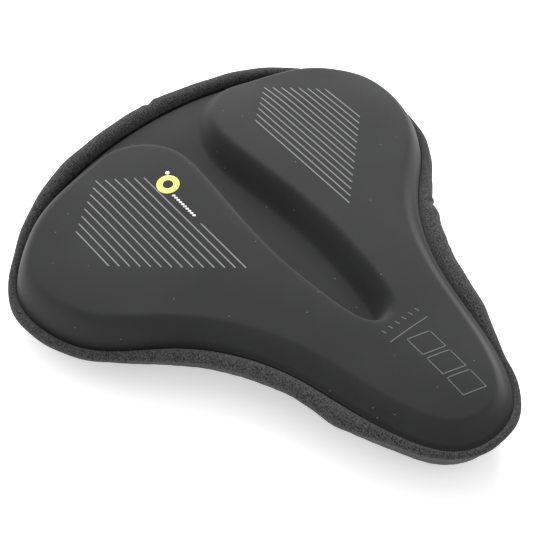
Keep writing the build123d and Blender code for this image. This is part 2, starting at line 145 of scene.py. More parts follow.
def valleyLoop():
    rear, end, half, neck = seam["rearX"], channel["end"], channel["half"], channel["neck"]
    side = [
        (end, 0.0), (end - 0.008, 0.55 * half), (end - 0.037, 0.88 * half), (end - 0.064, half),
        (rear + 0.086, 0.88 * half), (rear + 0.047, neck), (rear + 0.026, neck + 0.006),
        (rear + 0.011, 0.54 * channel["valley"]), (rear - 0.005, channel["valley"]),
        (rear - 0.040, channel["valley"]),
    ]
    upper = openCurve(side, 400)
    return np.vstack([upper, upper[:0:-1] * np.array([1.0, -1.0])])


def signedDistance(loop, x, y):
    # distance to a closed polyline, above zero inside it
    tree = KDTree(len(loop))
    for i, (px, py) in enumerate(loop):
        tree.insert((px, py, 0.0), i)
    tree.balance()
    flatX, flatY = x.ravel(), y.ravel()
    near = np.array([tree.find((px, py, 0.0))[1] for px, py in zip(flatX, flatY)])
    result = np.full(len(flatX), np.inf)
    for offset in (-1, 0):
        a = loop[(near + offset) % len(loop)]
        b = loop[(near + offset + 1) % len(loop)]
        run = b - a
        to = np.column_stack([flatX, flatY]) - a
        share = np.clip((to * run).sum(1) / np.maximum((run**2).sum(1), 1e-18), 0.0, 1.0)
        result = np.minimum(result, np.hypot(*(to - share[:, None] * run).T))
    inside = np.zeros(len(flatX), bool)
    nextPoint = np.roll(loop, -1, 0)
    for (ax, ay), (bx, by) in zip(loop, nextPoint):
        if ay == by:
            continue
        crosses = ((ay > flatY) != (by > flatY)) & (flatX < ax + (flatY - ay) / (by - ay) * (bx - ax))
        inside ^= crosses
    return np.where(inside, result, -result).reshape(x.shape)


seamPath = seamLoop()
valleyPath = valleyLoop()


def seamLevel(x, y):
    t = (x - seam["middle"]) / (seam["length"] / 2)
    w = y / seam["wing"]
    return seam["height"] - seam["noseFall"] * t - seam["endSag"] * t**2 - seam["wingDroop"] * w**2


def padHeights(x, y):
    # heights of the skin's top, the split between the foams and the foam's base
    inward = signedDistance(seamPath, x, y)
    share = np.clip(inward / pad["shoulder"], 0.0, 1.0)
    steep = smoothStep((inward - pad["flange"]) / pad["side"])
    gentle = np.sin(np.clip(inward / pad["crown"], 0.0, 1.0) * np.pi / 2)
    narrow = pad["sideShare"] * steep + (1.0 - pad["sideShare"]) * gentle
    full = 1.0 - (1.0 - np.clip(inward / pad["wingShoulder"], 0.0, 1.0)) ** pad["round"]
    wing = smoothStep((np.abs(y) - pad["wingFrom"]) / (pad["wingTo"] - pad["wingFrom"]))
    bulge = narrow + (full * (1.0 + pad["wingRise"] / pad["rise"]) - narrow) * wing
    away = np.hypot(x - pad["tipX"], np.abs(y) - pad["tipY"]) / pad["tipReach"]
    bulge = bulge + full * pad["tipFill"] / pad["rise"] * np.exp(-(away**2))
    valley = smoothStep(0.5 + signedDistance(valleyPath, x, y) / channel["wall"])
    deepening = smoothStep((x - seam["rearX"] - channel["fadeStart"]) / channel["fade"])
    drop = -channel["floor"] * deepening * valley
    pinch = pad["pinch"] * np.exp(-((inward / pad["pinchReach"]) ** 2))
    level = seamLevel(x, y)
    top = level + pad["rise"] * bulge * (1.0 - valley) + drop - pinch
    split = level + drop - pad["split"]
    base = level - pad["rimDepth"] - (pad["depth"] - pad["rimDepth"]) * smoothStep(share)
    return top, split, base


def topAt(x, y):
    x, y = np.atleast_1d(np.asarray(x, float)), np.atleast_1d(np.asarray(y, float))
    return padHeights(x, y)[0]


def newObject(name, verts, faces, material, body="cover"):
    mesh = bpy.data.meshes.new(name)
    mesh.from_pydata([tuple(v) for v in verts], [], faces)
    mesh.update()
    obj = bpy.data.objects.new(name, mesh)
    bpy.context.scene.collection.objects.link(obj)
    for face in mesh.polygons:
        face.use_smooth = True
    if material:
        mesh.materials.append(material)
    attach(obj, body)
    return obj


def gridFaces(rows, columns, closedRows=False, closedColumns=False):
    faces = []
    lastRow = rows if closedRows else rows - 1
    lastColumn = columns if closedColumns else columns - 1
    for i in range(lastRow):
        for j in range(lastColumn):
            a, b = i * columns + j, i * columns + (j + 1) % columns
            c, d = ((i + 1) % rows) * columns + (j + 1) % columns, ((i + 1) % rows) * columns + j
            faces.append((a, b, c, d))
    return faces


def setUv(obj, coords):
    # one pair in metres for each face corner, in the mesh's own order
    layer = obj.data.uv_layers.new(name="UVMap")
    layer.data.foreach_set("uv", np.asarray(coords, np.float32).ravel())


def closedLengths(loop):
    # running length round a closed polyline, from 0 to its whole length
    return np.concatenate([[0], np.cumsum(np.linalg.norm(np.roll(loop, -1, 0) - loop, axis=1))])


def closedBand(name, rings, material, replaces=(), body="cover"):
    # rings: rows round the cover, each a closed section; both ways closed, so it is watertight
    rows, columns = rings.shape[:2]
    obj = newObject(name, rings.reshape(-1, 3), gridFaces(rows, columns, True, True), material, body)
    around, across = closedLengths(rings[:, 0]), closedLengths(rings[0])
    i, j = np.meshgrid(np.arange(rows), np.arange(columns), indexing="ij")
    i, j = i.ravel(), j.ravel()
    corners = [(around[i], across[j]), (around[i], across[j + 1]),
               (around[i + 1], across[j + 1]), (around[i + 1], across[j])]
    setUv(obj, np.stack([np.column_stack(c) for c in corners], axis=1))
    if replaces:
        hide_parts(*replaces)
    return obj


def subdivide(obj, levels=1):
    modifier = obj.modifiers.new("smooth", "SUBSURF")
    modifier.levels = levels
    modifier.render_levels = levels
    return obj


def newGroup(name, inputs, outputs):
    group = bpy.data.node_groups.new(name, "ShaderNodeTree")
    for label, kind, value in inputs:
        socket = group.interface.new_socket(name=label, in_out="INPUT", socket_type=kind)
        if value is not None:
            socket.default_value = value
    for label, kind in outputs:
        group.interface.new_socket(name=label, in_out="OUTPUT", socket_type=kind)
    return group, group.nodes.new("NodeGroupInput"), group.nodes.new("NodeGroupOutput")


def mathNode(tree, operation, a, b=None):
    node = tree.nodes.new("ShaderNodeMath")
    node.operation = operation
    for socket, value in zip(node.inputs, (a, b)):
        if value is None:
            continue
        if isinstance(value, (int, float)):
            socket.default_value = value
        else:
            tree.links.new(value, socket)
    return node.outputs[0]


def rangeNode(tree, value, fromLow, fromHigh, toLow, toHigh):
    node = tree.nodes.new("ShaderNodeMapRange")
    node.inputs["From Min"].default_value = fromLow
    node.inputs["From Max"].default_value = fromHigh
    node.inputs["To Min"].default_value = toLow
    node.inputs["To Max"].default_value = toHigh
    tree.links.new(value, node.inputs["Value"])
    return node.outputs["Result"]


def noiseNode(tree, vector, scale, detail=2.0, rough=0.5):
    node = tree.nodes.new("ShaderNodeTexNoise")
    tree.links.new(vector, node.inputs["Vector"])
    if isinstance(scale, (int, float)):
        node.inputs["Scale"].default_value = scale
    else:
        tree.links.new(scale, node.inputs["Scale"])
    node.inputs["Detail"].default_value = detail
    node.inputs["Roughness"].default_value = rough
    return node.outputs["Fac"]


def mixColour(tree, factor, a, b):
    node = tree.nodes.new("ShaderNodeMix")
    node.data_type = "RGBA"
    tree.links.new(factor, node.inputs[0])
    for socket, value in ((node.inputs[6], a), (node.inputs[7], b)):
        if isinstance(value, tuple):
            socket.default_value = value
        else:
            tree.links.new(value, socket)
    return node.outputs[2]


def grey(value, warm=0.0):
    return (value * (1 + warm), value, value * (1 - warm), 1.0)


def buildPileGroup():
    # fine raised nap of a brushed knit: a grain height, slow colour drift and a few pale lint specks
    group, enter, leave = newGroup(
        "brushedPile",
        [("Vector", "NodeSocketVector", None), ("Grain Scale", "NodeSocketFloat", 2600.0),
         ("Drift Scale", "NodeSocketFloat", 22.0), ("Lint Scale", "NodeSocketFloat", 120.0)],
        [("Grain", "NodeSocketFloat"), ("Drift", "NodeSocketFloat"), ("Lint", "NodeSocketFloat")],
    )
    grain = noiseNode(group, enter.outputs["Vector"], enter.outputs["Grain Scale"], 3.0, 0.62)
    drift = noiseNode(group, enter.outputs["Vector"], enter.outputs["Drift Scale"], 3.0, 0.5)
    cells = group.nodes.new("ShaderNodeTexVoronoi")
    group.links.new(enter.outputs["Vector"], cells.inputs["Vector"])
    group.links.new(enter.outputs["Lint Scale"], cells.inputs["Scale"])
    close = rangeNode(group, cells.outputs["Distance"], 0.050, 0.085, 1.0, 0.0)
    split = group.nodes.new("ShaderNodeSeparateColor")
    group.links.new(cells.outputs["Color"], split.inputs["Color"])
    rare = rangeNode(group, split.outputs[0], 0.70, 0.72, 0.0, 1.0)
    group.links.new(grain, leave.inputs["Grain"])
    group.links.new(drift, leave.inputs["Drift"])
    group.links.new(mathNode(group, "MULTIPLY", close, rare), leave.inputs["Lint"])
    return group


def buildKnitGroup():
    # columns of V loops in UV metres, with the fleck of a two-tone yarn
    group, enter, leave = newGroup(
        "knitLoops",
        [("Vector", "NodeSocketVector", None), ("Object", "NodeSocketVector", None),
         ("Loop Width", "NodeSocketFloat", 0.0012), ("Loop Height", "NodeSocketFloat", 0.0009),
         ("Fleck Scale", "NodeSocketFloat", 900.0)],
        [("Height", "NodeSocketFloat"), ("Fleck", "NodeSocketFloat"), ("Drift", "NodeSocketFloat")],
    )
    split = group.nodes.new("ShaderNodeSeparateXYZ")
    group.links.new(enter.outputs["Vector"], split.inputs[0])
    column = mathNode(group, "DIVIDE", split.outputs[0], enter.outputs["Loop Width"])
    row = mathNode(group, "DIVIDE", split.outputs[1], enter.outputs["Loop Height"])
    lean = mathNode(group, "PINGPONG", column, 0.5)
    wave = mathNode(group, "SINE", mathNode(group, "MULTIPLY", mathNode(group, "ADD", row, lean), 6.2832))
    ridge = mathNode(group, "SINE", mathNode(group, "MULTIPLY", column, 3.1416))
    groove = mathNode(group, "ABSOLUTE", ridge)
    raised = mathNode(group, "ADD", mathNode(group, "MULTIPLY", wave, 0.5), 0.5)
    lift = mathNode(group, "MULTIPLY", raised, groove)
    fleck = noiseNode(group, enter.outputs["Object"], enter.outputs["Fleck Scale"], 4.0, 0.75)
    drift = noiseNode(group, enter.outputs["Object"], 45.0, 2.0, 0.5)
    group.links.new(lift, leave.inputs["Height"])
    group.links.new(rangeNode(group, fleck, 0.40, 0.62, 0.0, 1.0), leave.inputs["Fleck"])
    group.links.new(drift, leave.inputs["Drift"])
    return group


def buildWeaveGroup():
    # over-and-under picks of a woven tape in UV metres
    group, enter, leave = newGroup(
        "wovenPicks",
        [("Vector", "NodeSocketVector", None), ("Warp", "NodeSocketFloat", 0.0011),
         ("Weft", "NodeSocketFloat", 0.0009)],
        [("Height", "NodeSocketFloat"), ("Shade", "NodeSocketFloat")],
    )
    split = group.nodes.new("ShaderNodeSeparateXYZ")
    group.links.new(enter.outputs["Vector"], split.inputs[0])
    warp = mathNode(group, "DIVIDE", split.outputs[1], enter.outputs["Warp"])
    weft = mathNode(group, "DIVIDE", split.outputs[0], enter.outputs["Weft"])
    step = mathNode(group, "MULTIPLY", mathNode(group, "FLOOR", warp), 0.5)
    across = mathNode(group, "SINE", mathNode(group, "MULTIPLY", warp, 3.1416))
    along = mathNode(group, "SINE", mathNode(group, "MULTIPLY", mathNode(group, "ADD", weft, step), 3.1416))
    across, along = mathNode(group, "ABSOLUTE", across), mathNode(group, "ABSOLUTE", along)
    picks = mathNode(group, "MULTIPLY", across, along)
    shade = noiseNode(group, enter.outputs["Vector"], 700.0, 2.0, 0.6)
    group.links.new(picks, leave.inputs["Height"])
    group.links.new(shade, leave.inputs["Shade"])
    return group


pileGroup = buildPileGroup()
knitGroup = buildKnitGroup()
weaveGroup = buildWeaveGroup()


def newMaterial(name, rough, sheen=0.0, sheenRough=0.5, specular=0.3):
    material = bpy.data.materials.new(name)
    material.use_nodes = True
    tree = material.node_tree
    shader = tree.nodes["Principled BSDF"]
    shader.inputs["Roughness"].default_value = rough
    shader.inputs["Sheen Weight"].default_value = sheen
    shader.inputs["Sheen Roughness"].default_value = sheenRough
    shader.inputs["Specular IOR Level"].default_value = specular
    coords = tree.nodes.new("ShaderNodeTexCoord")
    return material, tree, shader, coords


def addGroup(tree, group, values, vector, objectVector=None):
    node = tree.nodes.new("ShaderNodeGroup")
    node.node_tree = group
    tree.links.new(vector, node.inputs["Vector"])
    if objectVector is not None:
        tree.links.new(objectVector, node.inputs["Object"])
    for label, value in values.items():
        node.inputs[label].default_value = value
    return node


def addBump(tree, shader, height, strength, distance):
    bump = tree.nodes.new("ShaderNodeBump")
    bump.inputs["Strength"].default_value = strength
    bump.inputs["Distance"].default_value = distance
    tree.links.new(height, bump.inputs["Height"])
    tree.links.new(bump.outputs["Normal"], shader.inputs["Normal"])


def makeSkinMaterial():
    look = {"dark": 0.0155, "light": 0.0215, "lint": 0.13, "lintScale": 200.0, "grain": 2400.0, "rough": 0.72}
    material, tree, shader, coords = newMaterial("topFabric", look["rough"], 0.13, 0.45, 0.18)
    scales = {"Grain Scale": look["grain"], "Lint Scale": look["lintScale"]}
    pile = addGroup(tree, pileGroup, scales, coords.outputs["Object"])
    drift = rangeNode(tree, pile.outputs["Drift"], 0.3, 0.7, 0.0, 1.0)
    cloth = mixColour(tree, drift, grey(look["dark"], -0.02), grey(look["light"], -0.02))
    fine = rangeNode(tree, pile.outputs["Grain"], 0.35, 0.70, 0.0, 0.35)
    cloth = mixColour(tree, fine, cloth, grey(look["light"] * 1.5, -0.01))
    cloth = mixColour(tree, pile.outputs["Lint"], cloth, grey(look["lint"]))
    tree.links.new(cloth, shader.inputs["Base Color"])
    tree.links.new(rangeNode(tree, pile.outputs["Grain"], 0.3, 0.7, 0.66, 0.82), shader.inputs["Roughness"])
    addBump(tree, shader, pile.outputs["Grain"], 0.35, 0.0002)
    return material


def makeKnitMaterial(name, look):
    material, tree, shader, coords = newMaterial(name, 0.9, look["sheen"], 0.4, 0.2)
    knit = addGroup(
        tree, knitGroup,
        {"Loop Width": look["width"], "Loop Height": look["height"], "Fleck Scale": look["fleck"]},
        coords.outputs["UV"], coords.outputs["Object"],
    )
    yarn = mixColour(tree, knit.outputs["Fleck"], grey(look["dark"]), grey(look["light"]))
    # painted shade: the hollows between the knit loops, where the loop height is low, are mixed towards a
    # dark shade colour, up to the look's gap share
    shaded = mathNode(tree, "SUBTRACT", 1.0, knit.outputs["Height"])
    hollowShade = rangeNode(tree, shaded, 0.0, 1.0, 0.0, look["gap"])
    yarn = mixColour(tree, hollowShade, yarn, grey(look["dark"] * 0.4))
    tree.links.new(yarn, shader.inputs["Base Color"])
    tree.links.new(rangeNode(tree, knit.outputs["Drift"], 0.3, 0.7, 0.82, 0.95), shader.inputs["Roughness"])
    fuzz = mathNode(tree, "MULTIPLY", knit.outputs["Fleck"], 0.5)
    height = mathNode(tree, "ADD", fuzz, knit.outputs["Height"])
    addBump(tree, shader, height, look["bump"], 0.0004)
    return material


def makeWeaveMaterial(name, look, across="UV"):
    material, tree, shader, coords = newMaterial(name, look["rough"], look["sheen"], 0.5, 0.3)
    weave = addGroup(tree, weaveGroup, {"Warp": look["warp"], "Weft": look["weft"]}, coords.outputs[across])
    tone = mixColour(tree, weave.outputs["Shade"], grey(look["dark"]), grey(look["light"]))
    # painted shade: the dips between the woven picks are mixed towards a dark shade colour, up to the look's
    # gap share
    hollowShade = rangeNode(tree, weave.outputs["Height"], 0.0, 0.6, look["gap"], 0.0)
    tone = mixColour(tree, hollowShade, tone, grey(look["dark"] * 0.4))
    tree.links.new(tone, shader.inputs["Base Color"])
    tree.links.new(
        rangeNode(tree, weave.outputs["Shade"], 0.3, 0.7, look["rough"] - 0.08, look["rough"] + 0.08),
        shader.inputs["Roughness"],
    )
    addBump(tree, shader, weave.outputs["Height"], look["bump"], 0.0003)
    return material


def makeFilmMaterial(name, colour, wear):
    # printed transfer: matt ink that takes a little of the cloth's grain
    material, tree, shader, coords = newMaterial(name, 0.6, 0.0, 0.5, 0.3)
    pile = addGroup(tree, pileGroup, {"Grain Scale": 2400.0}, coords.outputs["Object"])
    worn = rangeNode(tree, pile.outputs["Grain"], 0.35, 0.75, 0.0, wear)
    faded = tuple(c * 0.62 for c in colour[:3]) + (1.0,)
    tree.links.new(mixColour(tree, worn, colour, faded), shader.inputs["Base Color"])
    tree.links.new(rangeNode(tree, pile.outputs["Drift"], 0.3, 0.7, 0.52, 0.68), shader.inputs["Roughness"])
    addBump(tree, shader, pile.outputs["Grain"], 0.2, 0.0001)
    return material


def makeFoamMaterial(name, colour, cell):
    material, tree, shader, coords = newMaterial(name, 0.95, 0.0, 0.5, 0.1)
    cells = tree.nodes.new("ShaderNodeTexVoronoi")
    cells.inputs["Scale"].default_value = cell
    tree.links.new(coords.outputs["Object"], cells.inputs["Vector"])
    # painted shade: the open pores, near each cell's centre, are mixed towards a darker copy of the foam
    # colour
    poreShade = rangeNode(tree, cells.outputs["Distance"], 0.1, 0.6, 1.0, 0.0)
    dark = tuple(c * 0.55 for c in colour[:3]) + (1.0,)
    tree.links.new(mixColour(tree, poreShade, colour, dark), shader.inputs["Base Color"])
    addBump(tree, shader, cells.outputs["Distance"], 0.6, 0.0005)
    return material


def makeMouldedMaterial(name, colour, rough, grain):
    material, tree, shader, coords = newMaterial(name, rough, 0.0, 0.5, 0.45)
    pile = addGroup(tree, pileGroup, {"Grain Scale": grain}, coords.outputs["Object"])
    tone = rangeNode(tree, pile.outputs["Drift"], 0.3, 0.7, 0.0, 1.0)
    paler = tuple(c * 1.35 for c in colour[:3]) + (1.0,)
    tree.links.new(mixColour(tree, tone, colour, paler), shader.inputs["Base Color"])
    gloss = rangeNode(tree, pile.outputs["Grain"], 0.3, 0.7, rough - 0.08, rough + 0.1)
    tree.links.new(gloss, shader.inputs["Roughness"])
    addBump(tree, shader, pile.outputs["Grain"], 0.15, 0.0001)
    return material


def makePatchMaterial(name, colour, cell, bumpDistance):
    # hook or loop tape: a dense field of small raised points on a woven ground
    material, tree, shader, coords = newMaterial(name, 0.8, 0.15, 0.5, 0.25)
    cells = tree.nodes.new("ShaderNodeTexVoronoi")
    cells.inputs["Scale"].default_value = cell
    cells.inputs["Randomness"].default_value = 0.55
    tree.links.new(coords.outputs["Object"], cells.inputs["Vector"])
    tip = rangeNode(tree, cells.outputs["Distance"], 0.1, 0.55, 1.0, 0.0)
    # painted shade: the woven ground between the raised points is mixed towards a darker copy of the tape
    # colour; the points keep the full colour
    dark = tuple(c * 0.4 for c in colour[:3]) + (1.0,)
    tree.links.new(mixColour(tree, tip, dark, colour), shader.inputs["Base Color"])
    tree.links.new(rangeNode(tree, tip, 0.0, 1.0, 0.9, 0.6), shader.inputs["Roughness"])
    addBump(tree, shader, tip, 0.8, bumpDistance)
    return material


skinCloth = makeSkinMaterial()
skirtKnit = makeKnitMaterial("skirtKnit", {
    "dark": 0.012, "light": 0.108, "width": 0.0011, "height": 0.0008, "fleck": 1100.0,
    "gap": 0.35, "bump": 0.7, "sheen": 0.12,
})
liningKnit = makeKnitMaterial("liningKnit", {
    "dark": 0.018, "light": 0.03, "width": 0.0007, "height": 0.0006, "fleck": 1800.0,
    "gap": 0.3, "bump": 0.35, "sheen": 0.1,
})
hemWeave = makeWeaveMaterial("hemTapeWeave", {
    "dark": 0.012, "light": 0.024, "warp": 0.0007, "weft": 0.0006, "gap": 0.5, "bump": 0.5,
    "rough": 0.75, "sheen": 0.05,
})
elasticWeave = makeWeaveMaterial("elasticBraid", {
    "dark": 0.016, "light": 0.028, "warp": 0.0009, "weft": 0.0009, "gap": 0.5, "bump": 0.6,
    "rough": 0.7, "sheen": 0.0,
})
labelWeave = makeWeaveMaterial("labelSatin", {
    "dark": 0.55, "light": 0.68, "warp": 0.0003, "weft": 0.0008, "gap": 0.15, "bump": 0.2,
    "rough": 0.45, "sheen": 0.0,
}, "Object")
webbingLook = {
    "dark": 0.010, "light": 0.020, "warp": 0.0014, "weft": 0.0011, "gap": 0.6, "bump": 0.8,
    "rough": 0.62, "sheen": 0.05,
}
webbingLaid = makeWeaveMaterial("webbingWeave", webbingLook, "Object")
threadLook = {
    "dark": 0.012, "light": 0.03, "warp": 0.0004, "weft": 0.0005, "gap": 0.5, "bump": 0.6,
    "rough": 0.6, "sheen": 0.1,
}
threadLaid = makeWeaveMaterial("threadTwist", threadLook, "Object")
hookTape = makePatchMaterial("hookTape", (0.05, 0.05, 0.052, 1.0), 1400.0, 0.0004)
loopTape = makePatchMaterial("loopTape", (0.04, 0.04, 0.042, 1.0), 2100.0, 0.0003)
greyFilm = makeFilmMaterial("greyFilm", (0.20, 0.205, 0.21, 1.0), 0.4)
dimFilm = makeFilmMaterial("dimFilm", (0.10, 0.103, 0.107, 1.0), 0.5)
limeFilm = makeFilmMaterial("limeFilm", (0.84, 0.86, 0.19, 1.0), 0.12)
whiteFilm = makeFilmMaterial("whiteFilm", (0.78, 0.78, 0.77, 1.0), 0.2)
memoryFoam = makeFoamMaterial("slowFoam", (0.62, 0.58, 0.45, 1.0), 900.0)
supportFoam = makeFoamMaterial("firmFoam", (0.10, 0.10, 0.11, 1.0), 1300.0)
siliconeGum = makeMouldedMaterial("siliconeGum", (0.035, 0.035, 0.037, 1.0), 0.38, 1500.0)
ringPlastic = makeMouldedMaterial("ringPlastic", (0.018, 0.018, 0.019, 1.0), 0.42, 3200.0)
print("materials made")


def padGrid(turns, steps, inset=0.0):
    # rays from a spine on the centre plane out to the seam, crowded towards both ends
    loop = seamPath[:: len(seamPath) // turns]
    spine = seam["middle"] + (loop - np.array([seam["middle"], 0.0])) * np.array([0.85, 0.0])
    spine[:, 1] = 0.0
    reach = np.linalg.norm(loop - spine, axis=1)[:, None]
    edge = spine + (loop - spine) * (1.0 - inset / reach)
    t = np.linspace(0.0, 1.0, steps + 1)
    t = t - 0.5 * np.sin(2 * np.pi * t) / (2 * np.pi)
    return spine[:, None, :] + (edge - spine)[:, None, :] * t[None, :, None]


def closedLayer(name, upper, lower, material, node):
    # upper and lower are (turns, steps, 3) surfaces that meet at their outer rows
    turns, steps = upper.shape[:2]
    count = turns * steps
    faces = [f[::-1] for f in gridFaces(turns, steps, True)]
    faces += [tuple(count + v for v in f[::-1]) for f in faces]
    for i in range(turns):
        a, b = i * steps + steps - 1, ((i + 1) % turns) * steps + steps - 1
        faces.append((a, b, count + b, count + a))
    verts = np.vstack([upper.reshape(-1, 3), lower.reshape(-1, 3)])
    obj = newObject(name, verts, faces, material, "cover")
    work = bmesh.new()
    work.from_mesh(obj.data)
    bmesh.ops.remove_doubles(work, verts=work.verts, dist=1e-7)
    uv = work.loops.layers.uv.new("UVMap")
    for face in work.faces:
        face.smooth = True
        for corner in face.loops:
            corner[uv].uv = corner.vert.co.xy
    bmesh.ops.recalc_face_normals(work, faces=work.faces)
    work.to_mesh(obj.data)
    work.free()
    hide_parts(node)
    return obj


def buildSkin():
    # the top cloth runs over the padding and turns down into the seam at its edge
    outer = padGrid(pad["turns"], pad["steps"])
    inner = padGrid(pad["turns"], pad["steps"], pad["skin"])
    top = padHeights(outer[..., 0], outer[..., 1])[0]
    under = padHeights(inner[..., 0], inner[..., 1])[0] - pad["skin"]
    rows = [np.dstack([outer, top]), np.dstack([inner, under])]
    for k, (row, drop) in enumerate(zip(rows, (pad["lip"], pad["lip"] - pad["skin"]))):
        lip = [row[:, -1:] - np.array([0.0, 0.0, drop * share]) for share in (0.12, 0.4, 0.75, 1.0)]
        rows[k] = np.concatenate([row] + lip, axis=1)
    skin = closedLayer("topPanel", rows[0], rows[1], skinCloth, "top_panel")
    return subdivide(skin)


def buildPad():
    grid = padGrid(200, 36, pad["foamInset"])
    top, split, base = padHeights(grid[..., 0], grid[..., 1])
    under = top - pad["skin"] - 2 * pad["glue"]
    liningTop = base - pad["glue"]

    def layer(name, upper, lower, material, slot, node):
        return closedLayer(name, np.dstack([grid, upper]), np.dstack([grid, lower]), material, node)

    slow = layer("memoryFoamPad", under, split, memoryFoam, "memory_foam", "memory_foam_pad")
    firmTop = split - pad["glue"]
    firm = layer("supportFoamPad", firmTop, base, supportFoam, "support_foam", "support_foam_pad")
    lining = layer("baseLining", liningTop, liningTop - pad["lining"], liningKnit, "lining", "base_lining")
    return lining


topPanel = buildSkin()
baseLining = buildPad()
print("pad built")


def bandStations(count):
    loop = closedCurve(seamPath[::40], count * 8)
    length = closedLengths(loop)
    total = length[-1]
    wrapped = np.vstack([loop, loop[:1]])
    s = np.arange(count) * total / count
    p = np.column_stack([np.interp(s, length, wrapped[:, k]) for k in (0, 1)])
    ahead = np.column_stack([np.interp((s + 0.001) % total, length, wrapped[:, k]) for k in (0, 1)])
    behind = np.column_stack([np.interp((s - 0.001) % total, length, wrapped[:, k]) for k in (0, 1)])
    run = (ahead - behind) / np.linalg.norm(ahead - behind, axis=1)[:, None]
    outward = np.column_stack([-run[:, 1], run[:, 0]])
    if (outward * p).sum() < 0:
        outward = -outward
    share = s / total
    share = np.where(share > 0.5, 1.0 - share, share) * 2.0
    half = slice(0, len(loop) // 2)
    ends = [seam["rearX"] + seam["length"] * roll[k] for roll in skirt["rolls"] for k in (0, 1)]
    spots = np.interp(ends, loop[half, 0], length[half]) / total * 2.0
    spots[-1] = 1.0
    values = np.repeat(np.array([roll[2:] for roll in skirt["rolls"]]), 2, axis=0)
    i = np.clip(np.searchsorted(spots, share, side="right") - 1, 0, len(spots) - 2)
    t = smoothStep((share - spots[i]) / (spots[i + 1] - spots[i]))
    sizes = values[i] + (values[i + 1] - values[i]) * t[:, None]
    return p, outward, seamLevel(p[:, 0], p[:, 1]), sizes, s


def bump(x, centre, width):
    return np.exp(-(((x - centre) / width) ** 2))


def relax(p, sizes, s, total):
    # what makes the knit a sewn thing: uneven fullness left and right, a pucker at the back seam, kinks
    sizes = sizes.copy()
    left = np.sign(p[:, 1])
    x = p[:, 0] - seam["middle"]
    back, wing, nose, pucker = (skirt[k] for k in ("back", "rightWing", "noseLean", "pucker"))
    sizes[:, 0] += skirt["leftWaistSwell"] * left * bump(x, 0.030, 0.045)
    sizes[:, 0] -= back["thin"] * bump(p[:, 1], back["y"], back["width"]) * (x < 0.0)
    sizes[:, 0] += wing["fuller"] * bump(x, wing["x"], wing["width"]) * (left < 0)
    sizes[:, 0] -= nose["shift"] * left * bump(x, nose["x"], nose["width"])
    aroundSeam = np.minimum(s, total - s)
    sizes[:, 0] -= pucker["deep"] * bump(aroundSeam, 0.0, pucker["width"])
    sizes[:, 0] += pucker["beside"] * bump(aroundSeam, pucker["away"], pucker["width"])
    for centre, width, depth in skirt["kinks"]:
        sizes[:, 0] -= depth * bump(x, centre, width) * (left > 0)
    sizes[:, 0] += skirt["ripple"] * np.sin(s * 210.0) * np.sin(s * 67.0 + 1.0)
    sizes[:, 1] += skirt["waver"] * np.sin(s * 96.0 + 2.0)
    return sizes


def skirtLines(level, sizes, s):
    # middle line of the skirt's section at every station: (station, point, outward and height)
    radius, lift, inset, hem, turn, pull = (sizes[:, k] for k in range(6))
    start = skirt["clear"] + skirt["thick"] / 2
    roll = radius - skirt["thick"] / 2
    flat = np.full_like(level, start)
    lines = [np.column_stack([flat, level + lift - skirt["allowance"]])]
    lines.append(np.column_stack([flat, level + lift - skirt["allowance"] / 2]))
    for share in np.linspace(0.0, 1.0, 19):
        angle = np.radians(180.0 + (turn - 180.0) * share)
        out, up = start + roll + roll * np.cos(angle), level + lift + roll * np.sin(angle)
        lines.append(np.column_stack([out, up]))
    leave = lines[-1]
    reach = np.column_stack([-inset + skirt["hemReach"], hem])
    pull = (pull * np.linalg.norm(reach - leave, axis=1))[:, None]
    angle = np.radians(turn)
    first = leave + pull * np.column_stack([np.sin(angle), -np.cos(angle)])
    second = reach + pull * np.array([1.0, skirt["hemSlope"]])
    gather = skirt["gather"] * np.sin(s * 2 * np.pi / skirt["gatherPitch"] + 1.6 * np.sin(s * 31.0))
    for t in np.linspace(0.0, 1.0, 25)[1:]:
        point = (1 - t) ** 3 * leave + 3 * t * (1 - t) ** 2 * first
        point = point + 3 * t * t * (1 - t) * second + t**3 * reach
        point[:, 1] += gather * (t**5 * (1.0 - t) * 14.9)
        lines.append(point)
    lines.append(np.column_stack([-inset, hem]))
    return np.stack(lines, axis=1)


def offsetLines(lines, distance):
    along = np.gradient(lines, axis=1)
    along /= np.linalg.norm(along, axis=2)[..., None]
    return lines + distance * np.dstack([-along[..., 1], along[..., 0]])


def toWorld(p, outward, section):
    x = p[:, 0, None] + outward[:, 0, None] * section[..., 0]
    y = p[:, 1, None] + outward[:, 1, None] * section[..., 0]
    return np.dstack([x, y, section[..., 1]])


def buildSkirt():
    p, outward, level, sizes, s = bandStations(skirt["turns"])
    sizes = relax(p, sizes, s, s[-1] + s[1])
    lines = skirtLines(level, sizes, s)
    outer = offsetLines(lines, skirt["thick"] / 2)
    inner = offsetLines(lines, -skirt["thick"] / 2)
    rings = toWorld(p, outward, np.concatenate([outer, inner[:, ::-1]], axis=1))
    band = closedBand("skirtBand", rings, skirtKnit, ("skirt",))
    subdivide(band)
    return band


def hemSection(corners, sizes):
    inset, hem = sizes[:, 2], sizes[:, 3]
    return np.stack([np.column_stack([-inset - inward, hem + up]) for inward, up in corners], axis=1)


